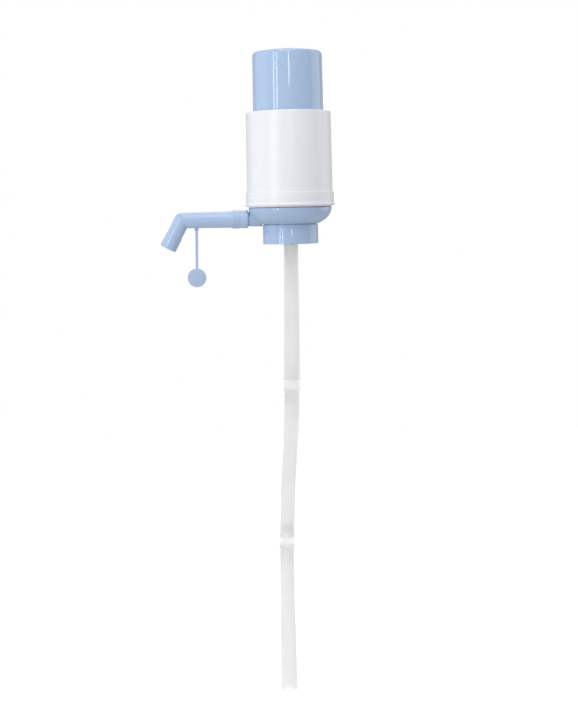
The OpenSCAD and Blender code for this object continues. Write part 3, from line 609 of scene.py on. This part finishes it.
# ---- Deck and clamp ring: the white moulded disc that closes the bellows' bottom, with the air holes that
# let air out, and the ring that holds the bellows' flange down on it
from_solid("deck", "deck_plate", "pump_body", white_plastic)
from_solid("ring_clamp", "clamp_ring", "pump_body", white_plastic)


# ---- Clamp screws: four small self-tapping screws of plain bright steel, which go down through the clamp
# ring and hold it and the deck on the base
screw_steel = moulded(
    "screw_steel", (0.62, 0.62, 0.63), 0.32, spread=0.04, bump=0.05, scale=160, extra={"Metallic": 1.0}
)
from_solid("ring_screws", "clamp_screws", "pump_body", screw_steel)


# ---- Deck's seal: a square-edged ring of black rubber between the deck and the bowl, squeezed flat by the
# screws
from_solid("square_seal", "deck_seal", "pump_body", black_rubber)


# ---- Air valves: two umbrella valves of black rubber, each held by its stem in the middle of its plate. The
# upper one lets air into the bellows, and the lower one lets it out into the bottle only.
from_solid("air_valve", "inlet_valve", "plunger", black_rubber)
from_solid("non_return", "check_valve", "pump_body", black_rubber)


# ---- Floor: a pale floor a good way below the hanging pump. To the camera it shows its own shaded colour
# brought up to the white of the surround, so it keeps the pump's shadow.
def seen_directly(tree):
    # 1 for what the camera sees, straight or through the milky tubes, 0 for the light that falls on things
    path = tree.nodes.new("ShaderNodeLightPath")
    seen = tree.nodes.new("ShaderNodeMath")
    seen.operation = "MAXIMUM"
    tree.links.new(path.outputs["Is Camera Ray"], seen.inputs[0])
    tree.links.new(path.outputs["Is Transmission Ray"], seen.inputs[1])
    return seen.outputs[0]


floor_half, floor_z, floor_glow = 6, -1.3, 0.75
floor_paint = moulded("floor_paint", (0.88, 0.86, 0.82), 0.8, spread=0.005, scale=3)
tree = floor_paint.node_tree
glow = tree.nodes.new("ShaderNodeEmission")
glow.inputs["Color"].default_value = (1, 1, 1, 1)
level = tree.nodes.new("ShaderNodeMath")
level.operation = "MULTIPLY"
level.inputs[1].default_value = floor_glow
both = tree.nodes.new("ShaderNodeAddShader")
tree.links.new(seen_directly(tree), level.inputs[0])
tree.links.new(level.outputs[0], glow.inputs["Strength"])
tree.links.new(tree.nodes["Principled BSDF"].outputs[0], both.inputs[0])
tree.links.new(glow.outputs[0], both.inputs[1])
tree.links.new(both.outputs[0], tree.nodes["Material Output"].inputs["Surface"])
bm = bmesh.new()
bmesh.ops.create_grid(
    bm, x_segments=1, y_segments=1, size=floor_half, matrix=Matrix.Translation((0, 0, floor_z))
)
floor_mesh = bpy.data.meshes.new("floor")
bm.to_mesh(floor_mesh)
bm.free()
floor_mesh.materials.append(floor_paint)
floor = bpy.data.objects.new("floor", floor_mesh)
bpy.context.scene.collection.objects.link(floor)


# ---- Studio: a soft light over the camera, one at each side and one high behind, with two upright strips at
# the left and a small light high in front that draw the highlights
def lamp(name, width, height, power, azimuth, distance, height_at, aim):
    # Azimuth in degrees round the pump from the camera's side, positive to the right. Everything else is in
    # metres and watts, and the aim is the height on the pump's axis that it points at.
    a = math.radians(azimuth)
    at = Vector((math.sin(a) * distance, -math.cos(a) * distance, height_at))
    data = bpy.data.lights.new(name, "AREA")
    data.shape = "RECTANGLE"
    data.size = width
    data.size_y = height
    data.energy = power
    obj = bpy.data.objects.new(name, data)
    bpy.context.scene.collection.objects.link(obj)
    obj.location = at
    obj.rotation_euler = (Vector((0, 0, aim)) - at).to_track_quat("-Z", "Y").to_euler()


lamp("strip_left", 0.07, 1.4, 2.7, -45.6, 1.2, 0.1, 0.1)
lamp("strip_right", 0.07, 1.4, 2.7, -34.9, 1.2, 0.1, 0.1)
lamp("small_front", 0.08, 0.5, 1.6, 5, 1.5, 0.68, 0.15)
lamp("soft_left", 1.5, 1.6, 4.8, -98, 1.6, 0.2, 0)
lamp("soft_right", 1.2, 1.6, 6.2, 108, 1.6, 0.2, 0)
lamp("soft_top", 1.2, 1.2, 10, 0, 0.75, 1.55, 0.1)
lamp("soft_back", 1.2, 1.2, 7, 180, 1.1, 1.3, 0.05)


# ---- Surround: plain white to the camera, and dimmer for the light that it gives, so that the lamps still
# shape the pump
surround_light, surround_seen = 0.46, 1.0
world = bpy.data.worlds.new("studio")
bpy.context.scene.world = world
world.use_nodes = True
tree = world.node_tree
background = tree.nodes["Background"]
background.inputs["Color"].default_value = (1, 1, 1, 1)
level = tree.nodes.new("ShaderNodeMapRange")
level.inputs["To Min"].default_value = surround_light
level.inputs["To Max"].default_value = surround_seen
tree.links.new(seen_directly(tree), level.inputs["Value"])
tree.links.new(level.outputs[0], background.inputs["Strength"])

bpy.context.scene.view_settings.view_transform = "Standard"
